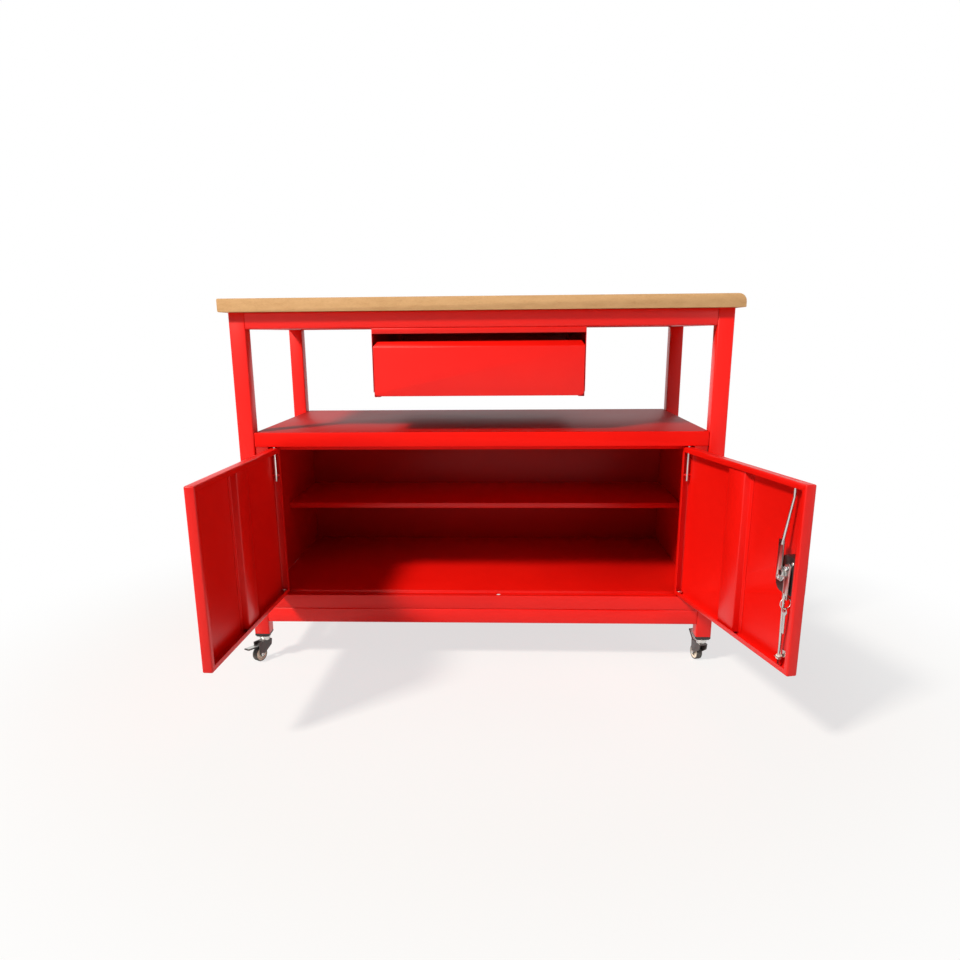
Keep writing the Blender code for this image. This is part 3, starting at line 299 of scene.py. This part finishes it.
def roundEdges(node):
    weld = node.modifiers.new("weld", "WELD")
    weld.merge_threshold = edges["weld"]
    bevel = node.modifiers.new("bevel", "BEVEL")
    bevel.width = edges["round"]
    bevel.segments = 2
    bevel.limit_method = "ANGLE"
    bevel.angle_limit = math.radians(edges["turn"])
    bevel.harden_normals = True


innerSheets = ("cabinet_back", "cabinet_side_left", "cabinet_side_right")


def dressNodes():
    for name, node in nodes.items():
        finish = slotFinishes[nodeSlots[name]]
        if name.startswith(("leg_", "top_rail_", "base_rail_", "drawer_front")):
            finish = coats["tube"]
        # inner sheets get the coat darkened as painted shade
        elif name in innerSheets:
            finish = coats["inner"]
        # the deck gets the coat with painted shade and a painted dark reflection on its top
        elif name == "cabinet_top":
            finish = coats["deck"]
        node.data.materials.clear()
        node.data.materials.append(finish)
        roundEdges(node)
        node.data.shade_smooth()


raceFoot = mm(52.6)     # a caster's ball race is bright zinc above its dark fork
pinRadius = mm(3.4)     # an upper hinge pin is zinc, and the tab that draws it down is red


def aboveRaceFoot(tree, where):
    height = addNode(tree, "SeparateXYZ", links={"Vector": where}).outputs["Z"]
    return addNode(tree, "Math", {"operation": "GREATER_THAN", 1: raceFoot},
                   {0: height}).outputs[0]


def offPin(side):
    centre = joints[f"door_{side}_hinge"]["pos_m"]

    def mask(tree, where):
        flat = addNode(tree, "VectorMath", {"operation": "MULTIPLY", 1: (1, 1, 0)}, {0: where})
        away = addNode(tree, "VectorMath", {"operation": "DISTANCE", 1: (*centre[:2], 0)},
                       {0: flat.outputs[0]})
        return addNode(tree, "Math", {"operation": "GREATER_THAN", 1: pinRadius},
                       {0: away.outputs["Value"]}).outputs[0]
    return mask


dressNodes()
forkFinish = splitFinish("darkForkZincRace", "darkForkCoat", "brightZincPlate", aboveRaceFoot)
for corner in corners:
    nodes["caster_fork_" + corner].data.materials[0] = forkFinish
for side in ("left", "right"):
    nodes[f"door_{side}_upper_pin"].data.materials[0] = splitFinish(
        "zincPinRedTab." + side, "brightZincPlate", "redTab", offPin(side))
print("frame dressed")


def newPiece(name, bm, finish, body):
    bmesh.ops.recalc_face_normals(bm, faces=bm.faces)
    wires = [edge for edge in bm.edges if edge.is_wire]  # a turned profile's line on its axis
    bmesh.ops.delete(bm, geom=wires, context="EDGES")
    mesh = bpy.data.meshes.new(name)
    bm.to_mesh(mesh)
    bm.free()
    mesh.shade_smooth()
    mesh.set_sharp_from_angle(angle=math.radians(edges["sharp"]))
    mesh.materials.append(finishes[finish])
    piece = bpy.data.objects.new(name, mesh)
    bpy.context.scene.collection.objects.link(piece)
    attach(piece, body)


def placeNew(bm, verts, place):  # moves verts and marks all faces as placed
    bmesh.ops.transform(bm, matrix=place, verts=verts)
    for face in bm.faces:
        face.tag = True


def newVerts(bm):  # those of the faces that aren't placed yet, in the mesh's own order
    fresh = {vert for face in bm.faces if not face.tag for vert in face.verts}
    return [vert for vert in bm.verts if vert in fresh]


def lathe(bm, profile, place, sides):  # profile: radius and height pairs round the local Z axis
    verts = [bm.verts.new((radius, 0, height)) for radius, height in profile]
    ring = [bm.edges.new(pair) for pair in zip(verts, verts[1:] + verts[:1])]
    bmesh.ops.spin(bm, geom=verts + ring, cent=(0, 0, 0), axis=(0, 0, 1),
                   angle=2 * math.pi, steps=sides, use_merge=True)
    bmesh.ops.remove_doubles(bm, verts=newVerts(bm), dist=mm(0.001))
    placeNew(bm, newVerts(bm), place)


def hexNut(bm, width, height, place):  # width across the flats
    radius = width / math.sqrt(3)
    made = bmesh.ops.create_cone(bm, cap_ends=True, segments=6, radius1=radius, radius2=radius,
                                 depth=height)
    verts = set(made["verts"])
    rims = [edge for edge in bm.edges if set(edge.verts) <= verts
            and abs(edge.verts[0].co.z - edge.verts[1].co.z) < height / 2]
    cut = bmesh.ops.bevel(bm, geom=rims, offset=height / 6, offset_type="OFFSET", affect="EDGES",
                          segments=2, profile=0.5, material=-1)
    verts = {vert for vert in verts if vert.is_valid} | set(cut["verts"])
    placeNew(bm, [vert for vert in bm.verts if vert in verts], place)


def axesOf(joint, turned):  # a joint's own axes, with its axis as local X or against local Y
    axis = Vector(joint["axis"]).normalized()
    up = Vector((0, 0, 1))
    x, y = (axis, up.cross(axis)) if turned == "x" else ((-axis).cross(up), -axis)
    place = Matrix((x, y, up)).transposed().to_4x4()
    place.translation = joint["pos_m"]
    return place


def along(place, axis, offset):  # local Z laid along one of the place's axes, then moved
    turn = {"x": Matrix.Rotation(math.pi / 2, 4, "Y"), "y": Matrix.Rotation(-math.pi / 2, 4, "X"),
            "z": Matrix.Identity(4)}[axis]
    return place @ Matrix.Translation(offset) @ turn


# A pan head from its seat over the rounded rim and down into its drive recess, as shares of the
# radius and the rise
panProfile = [(0, 0), (1, 0), (1, 0.35), (0.86, 0.72), (0.6, 0.93), (0.42, 1), (0.3, 0.45),
              (0, 0.4)]
panSides = 20


def panHead(bm, radius, rise, place):
    lathe(bm, [(share * radius, height * rise) for share, height in panProfile], place, panSides)


# Fastenings of the lock, on its turning cam and on the moulded body. Seats count from the door's
# skin inwards; a place across the door is (towards the hinge, up) from the grip's axis.
lockWork = {
    "washer": mm(7.8), "washerGauge": mm(0.8), "washerSides": 32, "spindle": mm(4.4),
    "nutWidth": mm(13), "nutHeight": mm(3.4), "nutSeat": mm(26.4),
    "crank": mm(11.314), "studHead": mm(4.2), "studSeat": mm(26.2), "studEnd": mm(29.0),
    "screwHead": mm(3.2), "screwRise": mm(1.8), "screwSeat": mm(19.6),
    "screw": (mm(-21.5), mm(22.0)),
}


def makeLockWork():
    work = lockWork
    place = axesOf(joints["lock_grip_turn"], "y")
    bm = bmesh.new()
    seat, gauge = work["nutSeat"], work["washerGauge"]
    lathe(bm, [(work["spindle"], 0), (work["washer"], 0), (work["washer"], gauge),
               (work["spindle"], gauge)], along(place, "y", (0, seat, 0)), work["washerSides"])
    hexNut(bm, work["nutWidth"], work["nutHeight"],
           along(place, "y", (0, seat + gauge + work["nutHeight"] / 2, 0)))
    newPiece("camNut", bm, "brightZincPlate", "lock_turn")

    bm = bmesh.new()
    for way in (-1, 1):
        head = along(place, "y", (way * work["crank"], work["studSeat"], -way * work["crank"]))
        panHead(bm, work["studHead"], work["studEnd"] - work["studSeat"], head)
    newPiece("camStudHeads", bm, "polishedChrome", "lock_turn")

    bm = bmesh.new()
    x, z = work["screw"]
    panHead(bm, work["screwHead"], work["screwRise"],
            along(place, "y", (x, work["screwSeat"], z)))
    newPiece("lockScrew", bm, "brightZincPlate", "door_right")


makeLockWork()

# White bush in the lower rod's guide, with a collar on either side of the plate
rodBush = {
    "bore": mm(3.1), "sleeve": mm(3.3), "collar": mm(5.6), "height": mm(2.2), "sides": 28,
    "plateGauge": mm(2.0), "gap": mm(0.2),
    "rodSide": mm(5.2), "rodDepth": mm(12.5),  # the rod's line, from the grip's axis
}


def makeRodBush():
    bush = rodBush
    place = axesOf(joints["lock_grip_turn"], "y")
    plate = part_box("lock_rod_guide")[0].z - place.translation.z
    low, high = plate - bush["gap"], plate + bush["plateGauge"] + bush["gap"]
    foot, top = low - bush["height"], high + bush["height"]
    bore, sleeve, collar = bush["bore"], bush["sleeve"], bush["collar"]
    profile = [(bore, foot), (collar, foot), (collar, low), (sleeve, low), (sleeve, high),
               (collar, high), (collar, top), (bore, top)]
    bm = bmesh.new()
    lathe(bm, profile, along(place, "z", (bush["rodSide"], bush["rodDepth"], 0)), bush["sides"])
    newPiece("rodBush", bm, "whiteBush", "door_right")


makeRodBush()
print("lock fastened")

# Caster fastenings: axle bolt with its nut, and the pressed lips of the two ball tracks
casterWork = {
    "forkOuter": mm(10.7), "boltHead": mm(4.6), "boltRise": mm(2.0),
    "nutWidth": mm(8.5), "nutHeight": mm(2.6),
    "lips": ((mm(64.2), mm(15.7)), (mm(58.2), mm(13.4))),  # height of the top and radius
    "lipGauge": mm(0.9), "lipFacets": 8, "lipSides": 32,
}
# Ribbed tread plate on each brake pedal, from near its hinge to its tip
pedalPlate = {
    "half": mm(7.2), "from": mm(6.0), "to": mm(38.5), "gauge": mm(0.5), "lift": mm(1.6),
    "ribs": 5, "ribRise": mm(0.5), "ribLength": 1.6, "ribSides": 12,  # length in half widths
    "tilt": {"front_left": 3.0, "front_right": 45.0},  # degrees at rest
}


def makeCasterWork(corner):
    work = casterWork
    axle = axesOf(joints["wheel_spin_" + corner], "x")
    bm = bmesh.new()
    panHead(bm, work["boltHead"], work["boltRise"], along(axle, "x", (work["forkOuter"], 0, 0)))
    hexNut(bm, work["nutWidth"], work["nutHeight"],
           along(axle, "x", (-work["forkOuter"] - work["nutHeight"] / 2, 0, 0)))
    newPiece("axleBolt_" + corner, bm, "brightZincPlate", "fork_" + corner)

    swivel = Matrix.Translation((*joints["caster_swivel_" + corner]["pos_m"][:2], 0))
    bm = bmesh.new()
    lip, facets = work["lipGauge"], work["lipFacets"]
    turns = [math.radians(facet * 360 / facets) for facet in range(facets)]
    for height, reach in work["lips"]:
        ring = [(reach + lip * math.cos(turn) / 2, height - lip / 2 + lip * math.sin(turn) / 2)
                for turn in turns]
        lathe(bm, ring, swivel, work["lipSides"])
    newPiece("raceLips_" + corner, bm, "brightZincPlate", "fork_" + corner)


def makePedalPlate(corner):
    plate = pedalPlate
    hinge = axesOf(joints["brake_pedal_turn_" + corner], "x")
    place = hinge @ Matrix.Rotation(-math.radians(plate["tilt"][corner]), 4, "X")
    length = plate["to"] - plate["from"]
    middle = (0, -(plate["from"] + plate["to"]) / 2, plate["lift"] + plate["gauge"] / 2)
    bm = bmesh.new()
    bmesh.ops.create_cube(bm, size=1.0, matrix=place @ Matrix.Translation(middle)
                          @ Matrix.Diagonal((2 * plate["half"], length, plate["gauge"], 1)))
    step = length / (plate["ribs"] + 2)
    for index in range(plate["ribs"]):
        spot = plate["to"] - step * (index + 1)
        bmesh.ops.create_cone(bm, cap_ends=True, segments=plate["ribSides"],
                              radius1=plate["ribRise"], radius2=plate["ribRise"],
                              depth=plate["ribLength"] * plate["half"],
                              matrix=along(place, "x", (0, -spot, plate["lift"] + plate["gauge"])))
    newPiece("pedalPlate_" + corner, bm, "brightZincPlate", "pedal_" + corner)


for corner in corners:
    makeCasterWork(corner)
    if "front" in corner:
        makePedalPlate(corner)
print("casters fastened")

# The camera stands where the photograph was taken, in the part's own frame
cameraView = {
    "sensor": 36,
    "place": (0.0525, -1.9287, 0.8195),
    "yaw": -2.535,
    "pitch": -15.172,
    "roll": -0.508,
    "lens": 29.543,
    "shift": (0.00986, 0.06934),
}


def makeCamera():
    data = bpy.data.cameras.new("camera")
    data.lens = cameraView["lens"]
    data.sensor_width = cameraView["sensor"]
    data.shift_x, data.shift_y = cameraView["shift"]
    camera = bpy.data.objects.new("camera", data)
    bpy.context.scene.collection.objects.link(camera)
    yaw, pitch, roll = (math.radians(cameraView[name]) for name in ("yaw", "pitch", "roll"))
    turn = (Matrix.Rotation(-yaw, 4, "Z") @ Matrix.Rotation(math.pi / 2 + pitch, 4, "X")
            @ Matrix.Rotation(roll, 4, "Z"))
    camera.matrix_world = Matrix.Translation(cameraView["place"]) @ turn
    bpy.context.scene.camera = camera


# A softened sun from the front left, as in the photograph, and a weak fill on the other side
lamps = [
    {"name": "key", "place": (-7.5, -7.05, 9.9), "size": 1.8, "power": 2300, "colour": "#FFF8EC"},
    {"name": "fill", "place": (3.4, -1.3, 1.5), "size": 1.6, "power": 20, "colour": "#FFFFFF"},
]
stageLook = {
    "aim": (0.0, 0.1, 0.45),
    "white": "#FFFFFF",
    "ambient": 0.1,
    "floor": "#E8E8E8",
    "floorRoughness": 0.9,
    "floorSize": 40.0,
    "shadowNear": 0.7,      # how much of the plain white shows beside the bench
    "fadeFrom": 0.75,       # metres from the bench's middle
    "fadeTo": 1.6,
}


def makeLights():
    for lamp in lamps:
        data = bpy.data.lights.new(lamp["name"], "AREA")
        data.size = lamp["size"]
        data.energy = lamp["power"]
        data.color = srgb(lamp["colour"])[:3]
        light = bpy.data.objects.new(lamp["name"], data)
        light.location = lamp["place"]
        aim = Vector(stageLook["aim"]) - Vector(lamp["place"])
        light.rotation_euler = aim.to_track_quat("-Z", "Y").to_euler()
        bpy.context.scene.collection.objects.link(light)


def seenDirectly(tree):  # 1 for the camera's rays and for mirrored and passed rays, else 0
    path = addNode(tree, "LightPath")
    eye = addNode(tree, "Math", {"operation": "MAXIMUM"},
                  {0: path.outputs["Is Camera Ray"], 1: path.outputs["Is Glossy Ray"]})
    return addNode(tree, "Math", {"operation": "MAXIMUM"},
                   {0: eye.outputs[0], 1: path.outputs["Is Transmission Ray"]}).outputs[0]


def makeWorld():
    world = bpy.data.worlds.new("paleStudio")
    world.use_nodes = True
    tree = world.node_tree
    tree.nodes.clear()
    ambient = addNode(tree, "Background", {"Color": srgb(stageLook["white"]),
                                           "Strength": stageLook["ambient"]})
    white = addNode(tree, "Background", {"Color": srgb(stageLook["white"]), "Strength": 1.0})
    mix = addNode(tree, "MixShader", links={0: seenDirectly(tree), 1: ambient.outputs[0],
                                            2: white.outputs[0]})
    addNode(tree, "OutputWorld", links={"Surface": mix.outputs[0]})
    bpy.context.scene.world = world


# The floor fades into the white background, so it keeps the bench's shadow and has no horizon
def makeFloor():
    bm = bmesh.new()
    bmesh.ops.create_grid(bm, x_segments=1, y_segments=1, size=stageLook["floorSize"] / 2)
    mesh = bpy.data.meshes.new("floor")
    bm.to_mesh(mesh)
    bm.free()
    floor = bpy.data.objects.new("floor", mesh)
    bpy.context.scene.collection.objects.link(floor)
    material, tree, shader, where = newMaterial("paleFloor")
    setShader(shader, {"Base Color": srgb(stageLook["floor"]), "Specular IOR Level": 0.0,
                       "Roughness": stageLook["floorRoughness"]})
    away = addNode(tree, "VectorMath", {"operation": "LENGTH"}, {0: where})
    fade = addNode(tree, "MapRange", {"interpolation_type": "SMOOTHSTEP",
                                      "From Min": stageLook["fadeFrom"],
                                      "From Max": stageLook["fadeTo"],
                                      "To Min": stageLook["shadowNear"], "To Max": 1.0},
                   {"Value": away.outputs["Value"]})
    plain = addNode(tree, "Math", {"operation": "MULTIPLY"},
                    {0: fade.outputs["Result"], 1: seenDirectly(tree)})
    white = addNode(tree, "Emission", {"Color": srgb(stageLook["white"]), "Strength": 1.0})
    mix = addNode(tree, "MixShader", links={0: plain.outputs[0], 1: shader.outputs["BSDF"],
                                            2: white.outputs[0]})
    output = [node for node in tree.nodes if node.bl_idname == "ShaderNodeOutputMaterial"][0]
    tree.links.new(mix.outputs[0], output.inputs["Surface"])
    mesh.materials.append(material)


makeCamera()
makeLights()
makeWorld()
makeFloor()
bpy.context.scene.view_settings.view_transform = "Standard"
print("camera, lights and stage set")
